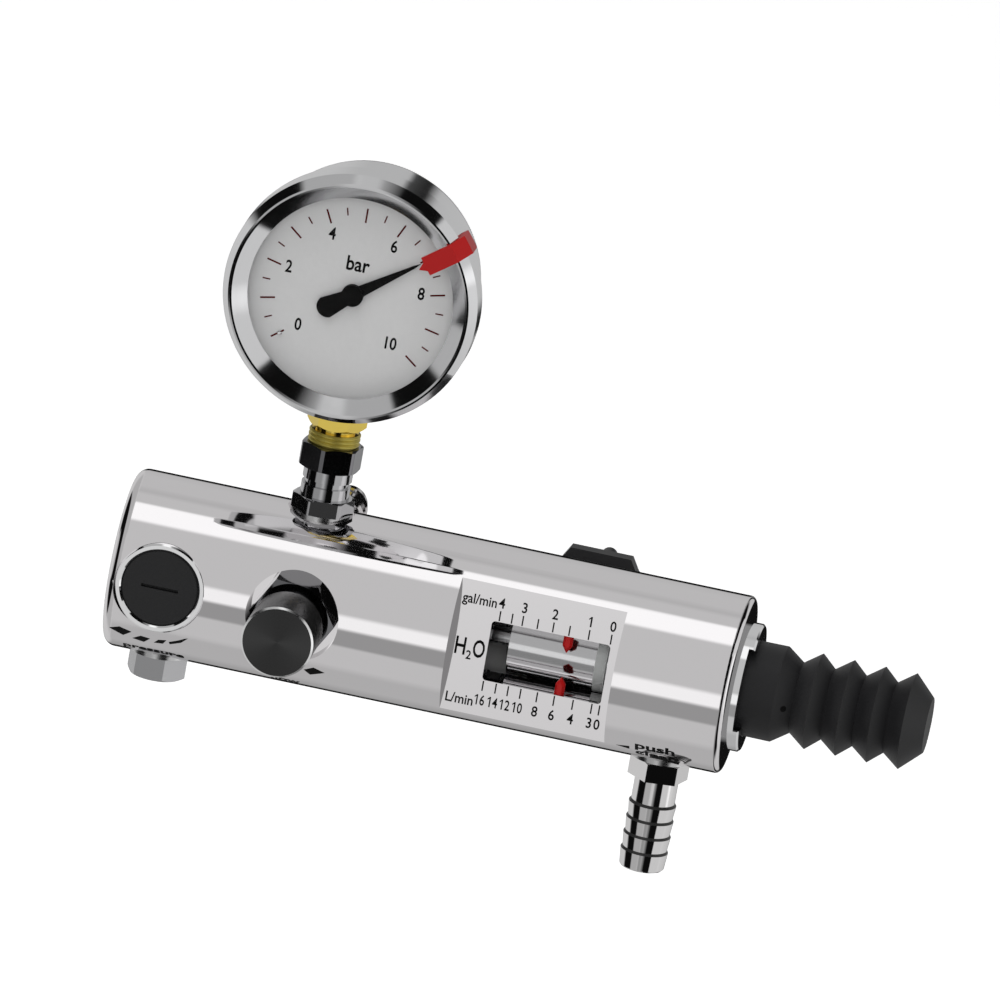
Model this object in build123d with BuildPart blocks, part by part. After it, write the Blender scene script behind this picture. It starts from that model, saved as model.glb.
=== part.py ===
from build123d import *
from math import acos, cos, radians, sin, sqrt, tan
import os

os.makedirs("parts", exist_ok=True)

# Body: a round bar lying along X, millimetres throughout
body_radius = 24.0
left_edge_radius = 3.0
right_edge_radius = 1.5

# The origin is the centre of the bracket's rear face
bracket_station = 123.0
standoff = 52.0
left_end = -bracket_station
axis_y = -standoff

# Running and seating clearances, on the radius or on the gap
thread_clearance = 0.05
running_clearance = 0.05
seat_clearance = 0.05
soft_clearance = 0.3

# Facet and sight window, set out from the sight tube
facet_depth = 15.5
facet_margin_left = 9.8
facet_margin_right = 2.8
window_margin_left = 8.2
window_margin_right = 9.6
window_half_height = 8.3
window_corner_radius = 1.0

# Ports
port_thread_radius = 6.5
port_seat_inset = 1.4
port_seat_radius = 8.9
port_depth = 10.5
rear_port_depth = 8.5
washer_thickness = 1.3
washer_radius = 8.0
passage_radius = 3.5
cross_station = 50.5
rear_barb_shift = 0.9
rear_barb_height = 11.5
rear_seat_inset = 5.3

# Sight tube and its bore
tube_radius = 10.4
tube_wall = 0.7
tube_length = 50.0
float_bore_length = 39.4
float_bore_wall = 0.6
seal_section_radius = 0.8
seal_inset = 3.5
seal_groove_width = 2.0

# Float with its cone and spring
float_length = 23.4
float_ring_thickness = 3.0
float_zero_inset = 1.0
float_gap = 0.08
float_wall = 0.8
float_end_thickness = 1.6
orifice_radius = 3.0
orifice_gap = 0.1
cone_root_radius = 2.0
cone_tip_inset = 0.6
cone_seat_depth = 3.0
cone_way_radius = 1.9
cone_way_count = 6
float_spring_turns = 8
float_spring_wire_radius = 0.45
float_spring_gap = 0.6

# Set-point markers in front of the tube
marker_inset = 11.5
marker_width = 2.6
marker_tip_height = 3.4
marker_shoulder_height = 5.4
marker_front_inset = 0.3
marker_thickness = 1.7
marker_bevel = 0.7
marker_tongue_height = 0.9
marker_tongue_thickness = 0.9
marker_tongue_inset = 0.7

# Pressure adjuster in the left front bore
pressure_station = 14.2
pressure_bore_radius = 12.25
pressure_bore_floor = 5.0
pressure_ring_inset = 1.7
pressure_ring_length = 9.0
adjuster_radius = 10.4
adjuster_inset = 0.3
adjuster_thickness = 4.0
adjuster_chamfer = 0.4
adjuster_boss_radius = 4.0
adjuster_boss_length = 3.0
slot_length = 10.0
slot_width = 0.9
slot_depth = 1.2
pressure_spring_turns = 4
pressure_spring_radius = 7.0
pressure_spring_wire_radius = 0.8
spring_plate_thickness = 1.5
spring_plate_radius = 9.0

# Flow valve
valve_recess_radius = 12.5
valve_recess_depth = 5.0
valve_thread_radius = 8.0
valve_wall = 2.3
bonnet_across_flats = 20.0
bonnet_hex_length = 6.5
bonnet_hex_chamfer = 1.0
bonnet_nose_radius = 7.6
stem_radius = 3.0
stem_tip_radius = 1.6
stem_tip_length = 4.0
knob_radius = 9.7
knob_gap = 7.5
knob_length = 15.8
knob_chamfer = 0.5
knob_wall = 3.4

# Hose barbs
barb_hex_across_flats = 14.0
barb_hex_length = 5.4
barb_hex_chamfer = 0.6
barb_neck_radius = 5.6
barb_first_ring = 7.5
barb_ring_pitch = 4.4
barb_ring_count = 4
barb_ring_radius = 6.35
barb_ring_radius_step = 0.2
barb_root_radius = 5.1
barb_tip_length = 4.8
barb_tip_radius = 4.9
barb_bore_radius = 3.6
plug_hex_length = 6.4
plug_turn = 8.5

# Gauge fitting
adapter_hex_across_flats = 15.0
adapter_corner_cut = 0.3
adapter_hex_length = 4.2
adapter_neck_radius = 6.6
adapter_neck_length = 7.8
adapter_groove_depth = 0.7
adapter_groove_width = 1.6
adapter_top_chamfer = 0.5
adapter_turn = 10.0
nut_length = 6.8
nut_turn = 21.5
gauge_thread_radius = 6.5
gauge_thread_length = 4.9
gauge_thread_engagement = 6.0
gauge_bore_radius = 2.5
stem_relief_radius = 5.3
stem_relief_length = 1.3
stem_hex_across_flats = 14.0
stem_hex_length = 7.4
stem_hex_chamfer = 0.9
stem_neck_length = 2.5

# Gauge
case_radius = 30.5
case_back = 12.0
case_wall = 1.2
case_back_edge_radius = 3.0
bezel_rim = 3.55
bezel_back = 9.5
bezel_shoulder = 18.2
bezel_front = 21.5
bezel_outer_band = 2.4
bezel_inner_band = 4.2
bezel_crest = 0.5
bezel_crest_drop = 0.2
bezel_cone_depth = 3.4
bezel_wall = 1.2
dial_inset = 1.5
lens_thickness = 1.6
dial_thickness = 0.8
dial_face = 13.2
dial_hole_radius = 1.8
dial_full_pressure = 10.0
dial_sweep = 255.0
dial_start_angle = 217.5
needle_reading = 7.1
needle_length = 20.6
needle_point_length = 2.0
needle_tail = 10.4
needle_tail_rise = 2.2
needle_root_width = 3.4
needle_tip_width = 0.7
needle_tail_width = 5.8
needle_hub_radius = 2.95
needle_hub_thickness = 1.4
needle_thickness = 0.6
needle_gap = 0.9
shaft_radius = 1.2
shaft_bore_radius = 0.9
shaft_fit = 0.01
socket_radius = 5.5
movement_width = 17.0
movement_height = 13.0
movement_thickness = 2.0
movement_gap = 1.2
bourdon_radius = 20.5
bourdon_half_width = 3.4
bourdon_half_thickness = 1.1
bourdon_gap = 0.2
bourdon_sweep = 250.0
socket_block_width = 12.0
socket_block_gap = 1.0
socket_block_cover = 3.0

# Red limit marker clipped over the bezel
limit_angle = 37.0
limit_half_width = 2.6
limit_point_radius = 21.5
limit_point_length = 2.0
limit_point_half_width = 1.3
limit_foot_thickness = 1.85
limit_thickness = 0.9
limit_back = 13.0

# Right end: ring nut, bellows, cleaning rod and its guide
end_bore_radius = 15.0
end_bore_depth = 10.0
end_ring_radius = 17.3
end_ring_thickness = 3.8
end_ring_chamfer = 0.5
end_ring_slot_width = 21.6
end_ring_slot_depth = 1.6
guide_sleeve_length = 14.0
guide_flange_thickness = 3.0
guide_sleeve_wall = 1.2
guide_plate_thickness = 4.0
bellows_root_radius = 12.8
bellows_flange_radius = 14.6
bellows_flange_thickness = 2.2
bellows_root_length = 11.2
bellows_first_fall = 4.7
bellows_pitch = 8.5
bellows_rise = 4.6
bellows_pleats = 4
bellows_valley_radius = 9.43
bellows_peak_radius = 12.75
bellows_tip_length = 5.6
bellows_end_radius = 8.0
bellows_wall = 1.2
bellows_peak_wall = 1.7
vent_radius = 0.85
rod_radius = 5.0
rod_bore_radius = 3.4
rod_bore_length = 30.0
rod_head_radius = 8.4
rod_head_thickness = 2.0
rod_head_hole_radius = 1.1
rod_head_hole_circle = 6.6
rod_head_holes = 6
rod_cap_radius = 6.4
rod_cap_thickness = 3.0

# Bracket behind the body
plate_gap = 2.0
plate_thickness = 4.0
plate_top_width = 16.5
plate_half_height = 19.8
plate_side_slope = 30.0
pad_half_length = 19.0
pad_half_height = 10.0
post_radius = 12.5
post_edge_chamfer = 0.8
rib_radius = 2.2
rib_centre_height = 13.2
rib_end = 47.7
mount_hole_radius = 2.5
mount_hole_depth = 14.0
screw_spacing = 32.0
screw_radius = 1.5
screw_head_radius = 2.75
screw_head_height = 3.0
screw_engagement = 8.0
screw_socket_across_flats = 2.5
screw_socket_depth = 1.5

# Values that follow from those above
tube_inner_radius = tube_radius - tube_wall
tube_bore_radius = tube_radius + seat_clearance
float_radius = tube_inner_radius - float_gap
valve_thread_floor = tube_inner_radius + valve_wall
valve_recess_floor = body_radius - valve_recess_depth
knob_back = body_radius + knob_gap
knob_face = knob_back + knob_length
pressure_ring_face = body_radius - pressure_ring_inset
adjuster_face = pressure_ring_face - adjuster_inset
port_seat_height = body_radius - port_seat_inset
rear_seat_height = body_radius - rear_seat_inset
hex_seat = port_seat_height + washer_thickness
rear_hex_seat = rear_seat_height + washer_thickness

# Stations along the body, from its left end
float_bore_left = cross_station + passage_radius + float_bore_wall
tube_left = float_bore_left + float_bore_length
tube_right = tube_left + tube_length
window_left = tube_left + window_margin_left
window_right = tube_right - window_margin_right
facet_left = window_left - facet_margin_left
facet_right = window_right + facet_margin_right
marker_station = window_right - marker_inset
float_ring_right = window_right - float_zero_inset
float_ring_left = float_ring_right - float_ring_thickness
float_left = float_ring_left - float_length
cone_tip = float_ring_right - cone_tip_inset
inlet_station = tube_right + guide_sleeve_length / 2
body_right_end = tube_right + guide_sleeve_length
body_length = body_right_end + end_bore_depth
guide_flange_face = body_right_end + guide_flange_thickness
ring_neck_start = guide_flange_face + bellows_flange_thickness
bellows_root_end = body_length + bellows_root_length
bellows_first_valley = bellows_root_end + bellows_first_fall
bellows_last_peak = bellows_first_valley + (bellows_pleats - 1) * bellows_pitch + bellows_rise
bellows_end = bellows_last_peak + bellows_tip_length
rod_head_left = float_ring_right
rod_end = bellows_end - bellows_wall

# Heights of the gauge and its fitting above the body's axis
adapter_neck_start = hex_seat + adapter_hex_length
nut_start = adapter_neck_start + adapter_neck_length
nut_end = nut_start + nut_length
stem_hex_start = nut_end + gauge_thread_length
stem_hex_end = stem_hex_start + stem_hex_length
gauge_height = stem_hex_end + stem_neck_length + case_radius

plate_front = body_radius + plate_gap
plate_back = plate_front + plate_thickness
case_inner_radius = case_radius - case_wall
dial_radius = case_radius - dial_inset
lens_radius = dial_radius
bezel_bore_radius = case_radius + seat_clearance
bezel_radius = bezel_bore_radius + bezel_rim
bezel_ridge_radius = bezel_radius - bezel_outer_band
bezel_inner_radius = bezel_ridge_radius - bezel_inner_band
lens_face = bezel_front - bezel_cone_depth
lens_back = lens_face - lens_thickness
limit_shoulder_radius = limit_point_radius + limit_point_length
limit_foot_radius = bezel_radius + seat_clearance
limit_outer_radius = limit_foot_radius + limit_foot_thickness
degrees_per_bar = dial_sweep / dial_full_pressure
needle_angle = dial_start_angle - needle_reading * degrees_per_bar

FRONT = (0, -1, 0)
REAR = (0, 1, 0)
UP = (0, 0, 1)
DOWN = (0, 0, -1)
RIGHT = (1, 0, 0)


def on_axis(station, height=0.0):
    return (left_end + station, axis_y, height)


def section_plane(centre, outward):
    # Local x runs outward along the turning axis, local y is the radius
    side = (0, -1, 0) if outward == RIGHT else RIGHT
    return Plane(origin=centre, x_dir=outward, z_dir=side)


def facing_plane(centre, outward, distance=0.0):
    # Faces outward, at a distance from the centre
    across = (0, 1, 0) if outward == RIGHT else RIGHT
    origin = Vector(*centre) + Vector(*outward) * distance
    return Plane(origin=origin, x_dir=across, z_dir=outward)


def dial_plane(distance, angle):
    # Parallel to the dial with local x at an angle anticlockwise from the right, seen from the front
    origin = (gauge_centre[0], gauge_centre[1] - distance, gauge_centre[2])
    return Plane(origin=origin, x_dir=(cos(radians(angle)), 0, sin(radians(angle))), z_dir=FRONT)


def turned(centre, outward, outline, mode=Mode.ADD):
    # Outline points are (distance outward, radius)
    with BuildSketch(section_plane(centre, outward)) as profile:
        with BuildLine():
            Polyline(*outline, close=True)
        make_face()
    revolve(profile.sketch, axis=Axis(centre, outward), mode=mode)


def bar(centre, outward, start, end, radius, mode=Mode.ADD):
    with BuildSketch(facing_plane(centre, outward, start)) as profile:
        Circle(radius)
    extrude(profile.sketch, amount=end - start, dir=outward, mode=mode)


def hexagon(centre, outward, start, end, across_flats, turn=0.0, far=0.0, near=0.0, corner_cut=0.0):
    # Cones round off the corners at the far and the near end, and corner_cut turns all six corners down
    corner_radius = across_flats / sqrt(3)
    flat_radius = across_flats / 2
    with BuildSketch(facing_plane(centre, outward, start)) as profile:
        RegularPolygon(flat_radius, 6, major_radius=False, rotation=turn)
        Circle(corner_radius - corner_cut, mode=Mode.INTERSECT)
    extrude(profile.sketch, amount=end - start, dir=outward)
    for tip, depth in ((end, far), (start, -near)):
        if depth:
            outline = [(tip - depth, corner_radius), (tip, flat_radius), (tip, corner_radius)]
            turned(centre, outward, outline, Mode.SUBTRACT)


def export(piece, name):
    piece.part.label = name
    export_step(piece.part, f"parts/{name}.step")


pressure_centre = on_axis(pressure_station)
valve_centre = on_axis(cross_station)
gauge_port_centre = on_axis(cross_station)
plug_centre = on_axis(pressure_station)
inlet_centre = on_axis(inlet_station)
rear_barb_centre = on_axis(cross_station + rear_barb_shift, rear_barb_height)
axis_start = on_axis(0)
gauge_centre = on_axis(cross_station, gauge_height)
bracket_centre = on_axis(bracket_station)
seal_stations = (tube_left + seal_inset, tube_right - seal_inset)

# Housing
with BuildPart() as housing:
    bar(axis_start, RIGHT, 0, body_length, body_radius)
    end_edges = housing.edges().filter_by(GeomType.CIRCLE).sort_by(Axis.X)
    fillet(end_edges[0], left_edge_radius)
    end_edges = housing.edges().filter_by(GeomType.CIRCLE).sort_by(Axis.X)
    fillet(end_edges[-1], right_edge_radius)
    # Milled facet and the window through it
    facet_centre = on_axis((facet_left + facet_right) / 2)
    with BuildSketch(facing_plane(facet_centre, FRONT, facet_depth)) as facet:
        Rectangle(facet_right - facet_left, 2 * body_radius)
    extrude(facet.sketch, amount=body_radius, dir=FRONT, mode=Mode.SUBTRACT)
    window_centre = on_axis((window_left + window_right) / 2)
    with BuildSketch(facing_plane(window_centre, FRONT)) as window:
        RectangleRounded(window_right - window_left, 2 * window_half_height, window_corner_radius)
    extrude(window.sketch, amount=body_radius, dir=FRONT, mode=Mode.SUBTRACT)
    # Grooves in the window's upper and lower walls that carry the markers
    groove_depth = marker_tongue_height + seat_clearance
    groove_front = facet_depth - marker_front_inset - marker_tongue_inset + seat_clearance
    groove_back = groove_front - marker_tongue_thickness - 2 * seat_clearance
    with BuildSketch(facing_plane(window_centre, FRONT, groove_back)) as groove:
        Rectangle(
            window_right - window_left - 2 * window_corner_radius,
            2 * (window_half_height + groove_depth),
        )
    extrude(groove.sketch, amount=groove_front - groove_back, dir=FRONT, mode=Mode.SUBTRACT)
    # Bores along the axis
    bar(axis_start, RIGHT, float_bore_left, body_length, tube_inner_radius, Mode.SUBTRACT)
    bar(axis_start, RIGHT, tube_left, body_length, tube_bore_radius, Mode.SUBTRACT)
    end_thread_radius = end_bore_radius + thread_clearance
    bar(axis_start, RIGHT, body_right_end, body_length, end_thread_radius, Mode.SUBTRACT)
    bar(axis_start, RIGHT, cross_station, float_bore_left, passage_radius, Mode.SUBTRACT)
    groove_radius = tube_radius + 2 * seal_section_radius + 2 * seat_clearance
    for seal_station in seal_stations:
        groove_start = seal_station - seal_groove_width / 2
        groove_end = seal_station + seal_groove_width / 2
        bar(axis_start, RIGHT, groove_start, groove_end, groove_radius, Mode.SUBTRACT)
    # Front bores
    bar(pressure_centre, FRONT, pressure_bore_floor, body_radius, pressure_bore_radius, Mode.SUBTRACT)
    bar(valve_centre, FRONT, valve_recess_floor, body_radius, valve_recess_radius, Mode.SUBTRACT)
    valve_bore_radius = valve_thread_radius + thread_clearance
    bar(valve_centre, FRONT, valve_thread_floor, body_radius, valve_bore_radius, Mode.SUBTRACT)
    bar(valve_centre, FRONT, 0, body_radius, passage_radius, Mode.SUBTRACT)
    # Screwed ports above, below and behind, each with a flat seat
    port_bore_radius = port_thread_radius + thread_clearance
    for centre, outward, seat, depth in (
        (gauge_port_centre, UP, port_seat_height, port_depth),
        (plug_centre, DOWN, port_seat_height, port_depth),
        (inlet_centre, DOWN, port_seat_height, port_depth),
        (rear_barb_centre, REAR, rear_seat_height, rear_port_depth),
    ):
        bar(centre, outward, seat, seat + body_radius, port_seat_radius, Mode.SUBTRACT)
        bar(centre, outward, seat - depth, body_radius, port_bore_radius, Mode.SUBTRACT)
        bar(centre, outward, 0, seat, passage_radius, Mode.SUBTRACT)
    # Screw holes for the bracket
    screw_hole_floor = body_radius - screw_engagement - seat_clearance
    for side in (-1, 1):
        hole_centre = on_axis(bracket_station + side * screw_spacing / 2)
        hole_radius = screw_radius + thread_clearance
        bar(hole_centre, REAR, screw_hole_floor, body_radius, hole_radius, Mode.SUBTRACT)
export(housing, "housing")

# Pressure adjuster
ring_back = pressure_ring_face - pressure_ring_length
ring_bore_radius = adjuster_radius + running_clearance
with BuildPart() as pressure_ring:
    ring_outer_radius = pressure_bore_radius - thread_clearance
    turned(
        pressure_centre,
        FRONT,
        [
            (ring_back, ring_bore_radius),
            (ring_back, ring_outer_radius),
            (pressure_ring_face - adjuster_chamfer, ring_outer_radius),
            (pressure_ring_face, ring_outer_radius - adjuster_chamfer),
            (pressure_ring_face, ring_bore_radius + adjuster_chamfer),
            (pressure_ring_face - adjuster_chamfer, ring_bore_radius),
        ],
    )
export(pressure_ring, "pressure_ring")

adjuster_back = adjuster_face - adjuster_thickness
boss_back = adjuster_back - adjuster_boss_length
with BuildPart() as pressure_adjuster:
    turned(
        pressure_centre,
        FRONT,
        [
            (boss_back, 0),
            (boss_back, adjuster_boss_radius),
            (adjuster_back, adjuster_boss_radius),
            (adjuster_back, adjuster_radius),
            (adjuster_face - adjuster_chamfer, adjuster_radius),
            (adjuster_face, adjuster_radius - adjuster_chamfer),
            (adjuster_face, 0),
        ],
    )
    with BuildSketch(facing_plane(pressure_centre, FRONT, adjuster_face - slot_depth)) as slot:
        Rectangle(slot_length, slot_width)
    extrude(slot.sketch, amount=slot_depth, dir=FRONT, mode=Mode.SUBTRACT)
export(pressure_adjuster, "pressure_adjuster")

with BuildPart() as spring_plate:
    plate_start = pressure_bore_floor
    bar(pressure_centre, FRONT, plate_start, plate_start + spring_plate_thickness, spring_plate_radius)
export(spring_plate, "spring_plate")


def coil_spring(centre, outward, start, end, radius, wire_radius, turns):
    # A plain helix of round wire between two planes
    length = end - start - 2 * wire_radius
    origin = Vector(*centre) + Vector(*outward) * (start + wire_radius)
    path = Helix(length / turns, length, radius, center=origin, direction=outward)
    with BuildPart() as spring:
        with BuildSketch(Plane(origin=path @ 0, z_dir=path % 0)) as wire:
            Circle(wire_radius)
        sweep(wire.sketch, path=path, is_frenet=True)
    return spring


pressure_spring = coil_spring(
    pressure_centre,
    FRONT,
    pressure_bore_floor + spring_plate_thickness + seat_clearance,
    adjuster_back - seat_clearance,
    pressure_spring_radius,
    pressure_spring_wire_radius,
    pressure_spring_turns,
)
export(pressure_spring, "pressure_spring")

# Flow valve
bonnet_hex_end = valve_recess_floor + bonnet_hex_length
stem_bore_radius = stem_radius + running_clearance
stem_tip_start = valve_thread_floor - stem_tip_length
with BuildPart() as valve_bonnet:
    bar(valve_centre, FRONT, valve_thread_floor, valve_recess_floor, valve_thread_radius)
    hexagon(
        valve_centre,
        FRONT,
        valve_recess_floor,
        bonnet_hex_end,
        bonnet_across_flats,
        far=bonnet_hex_chamfer,
    )
    bar(valve_centre, FRONT, bonnet_hex_end, knob_back - soft_clearance, bonnet_nose_radius)
    fillet(valve_bonnet.edges().filter_by(GeomType.CIRCLE).sort_by(Axis.Y)[0], bonnet_hex_chamfer)
    bar(valve_centre, FRONT, 0, knob_face, stem_bore_radius, Mode.SUBTRACT)
export(valve_bonnet, "valve_bonnet")

knob_bore_end = knob_face - knob_wall
with BuildPart() as valve_stem:
    turned(
        valve_centre,
        FRONT,
        [
            (stem_tip_start, 0),
            (stem_tip_start, stem_tip_radius),
            (valve_thread_floor, stem_radius),
            (knob_bore_end - seat_clearance, stem_radius),
            (knob_bore_end - seat_clearance, 0),
        ],
    )
export(valve_stem, "valve_stem")

with BuildPart() as flow_knob:
    knob_inner_radius = stem_radius + thread_clearance
    turned(
        valve_centre,
        FRONT,
        [
            (knob_back, knob_inner_radius),
            (knob_back, knob_radius - knob_chamfer),
            (knob_back + knob_chamfer, knob_radius),
            (knob_face - knob_chamfer, knob_radius),
            (knob_face, knob_radius - knob_chamfer),
            (knob_face, 0),
            (knob_bore_end, 0),
            (knob_bore_end, knob_inner_radius),
        ],
    )
export(flow_knob, "flow_knob")

# Sight tube with its seals
with BuildPart() as sight_tube:
    bar(axis_start, RIGHT, tube_left, tube_right, tube_radius)
    bar(axis_start, RIGHT, tube_left, tube_right, tube_inner_radius, Mode.SUBTRACT)
export(sight_tube, "sight_tube")

seal_centre_radius = tube_radius + seal_section_radius + seat_clearance
for seal_name, seal_station in zip(("left_tube_seal", "right_tube_seal"), seal_stations):
    with BuildPart() as tube_seal:
        with BuildSketch(section_plane(axis_start, RIGHT)) as ring:
            with Locations((seal_station, seal_centre_radius)):
                Circle(seal_section_radius)
        revolve(ring.sketch, axis=Axis(axis_start, RIGHT))
    export(tube_seal, seal_name)

# Metering cone on the axis, thicker towards the zero end
with BuildPart() as metering_cone:
    cone_tip_radius = orifice_radius - orifice_gap
    cone_seat_radius = tube_inner_radius - seat_clearance
    turned(
        axis_start,
        RIGHT,
        [
            (float_bore_left, 0),
            (float_bore_left, cone_seat_radius),
            (float_bore_left + cone_seat_depth, cone_seat_radius),
            (float_bore_left + cone_seat_depth, cone_root_radius),
            (cone_tip, cone_tip_radius),
            (cone_tip, 0),
        ],
    )
    with BuildSketch(facing_plane(axis_start, RIGHT, float_bore_left)) as ways:
        with PolarLocations((cone_root_radius + cone_seat_radius) / 2, cone_way_count):
            Circle(cone_way_radius)
    extrude(ways.sketch, amount=cone_seat_depth, dir=RIGHT, mode=Mode.SUBTRACT)
export(metering_cone, "metering_cone")

# Float: polished hollow piston with a pale ring at its zero end
with BuildPart() as float_piston:
    piston_inner_radius = float_radius - float_wall
    piston_end_start = float_ring_left - float_end_thickness
    turned(
        axis_start,
        RIGHT,
        [
            (float_left, piston_inner_radius),
            (float_left, float_radius),
            (float_ring_left, float_radius),
            (float_ring_left, orifice_radius),
            (piston_end_start, orifice_radius),
            (piston_end_start, piston_inner_radius),
        ],
    )
export(float_piston, "float_piston")

with BuildPart() as float_ring:
    bar(axis_start, RIGHT, float_ring_left, float_ring_right, float_radius)
    bar(axis_start, RIGHT, float_ring_left, float_ring_right, orifice_radius, Mode.SUBTRACT)
export(float_ring, "float_ring")

float_spring = coil_spring(
    axis_start,
    RIGHT,
    float_bore_left + cone_seat_depth + seat_clearance,
    piston_end_start - seat_clearance,
    piston_inner_radius - float_spring_wire_radius - float_spring_gap,
    float_spring_wire_radius,
    float_spring_turns,
)
export(float_spring, "float_spring")

# Set-point markers, one above and one below the tube
marker_front = facet_depth - marker_front_inset
for marker_name, side in (("upper_marker", 1), ("lower_marker", -1)):
    marker_centre = on_axis(marker_station)
    half_width = marker_width / 2
    with BuildPart() as marker:
        with BuildSketch(facing_plane(marker_centre, FRONT, marker_front - marker_thickness)) as dart:
            with BuildLine():
                Polyline(
                    (-half_width, side * (window_half_height - seat_clearance)),
                    (-half_width, side * marker_shoulder_height),
                    (0, side * marker_tip_height),
                    (half_width, side * marker_shoulder_height),
                    (half_width, side * (window_half_height - seat_clearance)),
                    close=True,
                )
            make_face()
        extrude(dart.sketch, amount=marker_thickness, dir=FRONT)
        front_edges = marker.faces().sort_by(Axis.Y)[0].edges()
        long_edges = [edge for edge in front_edges if abs(edge.tangent_at(0.5).Z) > 0.1]
        chamfer(long_edges, marker_bevel)
        tongue_front = marker_front - marker_tongue_inset
        tongue_centre = on_axis(marker_station, side * window_half_height)
        with BuildSketch(facing_plane(tongue_centre, FRONT, tongue_front - marker_tongue_thickness)) as tongue:
            Rectangle(marker_width, 2 * marker_tongue_height)
        extrude(tongue.sketch, amount=marker_tongue_thickness, dir=FRONT)
    export(marker, marker_name)


def hose_barb(centre, outward, seat, thread_length, turn):
    # Screwed hose barb: thread, hexagon, neck, then rings with their shoulders towards the hexagon
    hex_end = seat + barb_hex_length
    with BuildPart() as barb:
        bar(centre, outward, seat - thread_length, seat, port_thread_radius)
        hexagon(centre, outward, seat, hex_end, barb_hex_across_flats, turn, barb_hex_chamfer)
        first_ring = hex_end + barb_first_ring
        outline = [(seat, 0), (seat, barb_neck_radius), (first_ring, barb_neck_radius)]
        for number in range(barb_ring_count):
            ring_start = first_ring + number * barb_ring_pitch
            outline.append((ring_start, barb_ring_radius - number * barb_ring_radius_step))
            last = number == barb_ring_count - 1
            ring_length = barb_tip_length if last else barb_ring_pitch
            outline.append((ring_start + ring_length, barb_tip_radius if last else barb_root_radius))
        outline.append((outline[-1][0], 0))
        turned(centre, outward, outline)
        bar(centre, outward, 0, outline[-1][0], barb_bore_radius, Mode.SUBTRACT)
    return barb


def sealing_washer(centre, outward, seat):
    with BuildPart() as washer:
        bar(centre, outward, seat, seat + washer_thickness, washer_radius)
        inner_radius = port_thread_radius + thread_clearance
        bar(centre, outward, seat, seat + washer_thickness, inner_radius, Mode.SUBTRACT)
    return washer


thread_length = port_depth + washer_thickness - seat_clearance
export(hose_barb(inlet_centre, DOWN, hex_seat, thread_length, 0), "inlet_barb")
rear_thread_length = rear_port_depth + washer_thickness - seat_clearance
export(hose_barb(rear_barb_centre, REAR, rear_hex_seat, rear_thread_length, 0), "rear_barb")
export(sealing_washer(inlet_centre, DOWN, port_seat_height), "inlet_washer")
export(sealing_washer(rear_barb_centre, REAR, rear_seat_height), "rear_barb_washer")
export(sealing_washer(plug_centre, DOWN, port_seat_height), "plug_washer")
export(sealing_washer(gauge_port_centre, UP, port_seat_height), "gauge_washer")

with BuildPart() as blanking_plug:
    bar(plug_centre, DOWN, hex_seat - thread_length, hex_seat, port_thread_radius)
    plug_end = hex_seat + plug_hex_length
    hexagon(plug_centre, DOWN, hex_seat, plug_end, barb_hex_across_flats, plug_turn, barb_hex_chamfer)
export(blanking_plug, "blanking_plug")

# Fitting between body and gauge
with BuildPart() as gauge_adapter:
    bar(gauge_port_centre, UP, hex_seat - thread_length, hex_seat, port_thread_radius)
    hexagon(
        gauge_port_centre,
        UP,
        hex_seat,
        adapter_neck_start,
        adapter_hex_across_flats,
        adapter_turn,
        far=adapter_top_chamfer,
        corner_cut=adapter_corner_cut,
    )
    groove_start = adapter_neck_start + (adapter_neck_length - adapter_groove_width) / 2
    groove_radius = adapter_neck_radius - adapter_groove_depth
    turned(
        gauge_port_centre,
        UP,
        [
            (adapter_neck_start, 0),
            (adapter_neck_start, adapter_neck_radius),
            (groove_start, adapter_neck_radius),
            (groove_start, groove_radius),
            (groove_start + adapter_groove_width, groove_radius),
            (groove_start + adapter_groove_width, adapter_neck_radius),
            (nut_start, adapter_neck_radius),
            (nut_start, 0),
        ],
    )
    bar(gauge_port_centre, UP, 0, nut_start, gauge_bore_radius, Mode.SUBTRACT)
export(gauge_adapter, "gauge_adapter")

thread_floor = nut_end - gauge_thread_engagement
with BuildPart() as gauge_nut:
    hexagon(
        gauge_port_centre,
        UP,
        nut_start,
        nut_end,
        adapter_hex_across_flats,
        nut_turn,
        far=adapter_top_chamfer,
        near=adapter_top_chamfer,
        corner_cut=adapter_corner_cut,
    )
    nut_bore_radius = gauge_thread_radius + thread_clearance
    bar(gauge_port_centre, UP, thread_floor, nut_end, nut_bore_radius, Mode.SUBTRACT)
    bar(gauge_port_centre, UP, nut_start, nut_end, gauge_bore_radius, Mode.SUBTRACT)
export(gauge_nut, "gauge_nut")

# Brass stem: thread, hexagon and the socket inside the case
socket_top = gauge_height - bourdon_radius + bourdon_half_thickness
with BuildPart() as gauge_stem:
    relief_start = stem_hex_start - stem_relief_length
    bar(gauge_port_centre, UP, thread_floor + seat_clearance, relief_start, gauge_thread_radius)
    bar(gauge_port_centre, UP, relief_start, stem_hex_start, stem_relief_radius)
    hexagon(
        gauge_port_centre,
        UP,
        stem_hex_start,
        stem_hex_end,
        stem_hex_across_flats,
        near=stem_hex_chamfer,
    )
    block_bottom = gauge_height - case_inner_radius + socket_block_gap
    bar(gauge_port_centre, UP, stem_hex_end, block_bottom, socket_radius)
    with BuildSketch(facing_plane(gauge_port_centre, UP, block_bottom)) as block:
        Rectangle(socket_block_width, 2 * socket_radius)
    extrude(block.sketch, amount=socket_top + socket_block_cover - block_bottom, dir=UP)
    bar(gauge_port_centre, UP, thread_floor, socket_top, gauge_bore_radius, Mode.SUBTRACT)
export(gauge_stem, "gauge_stem")

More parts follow.
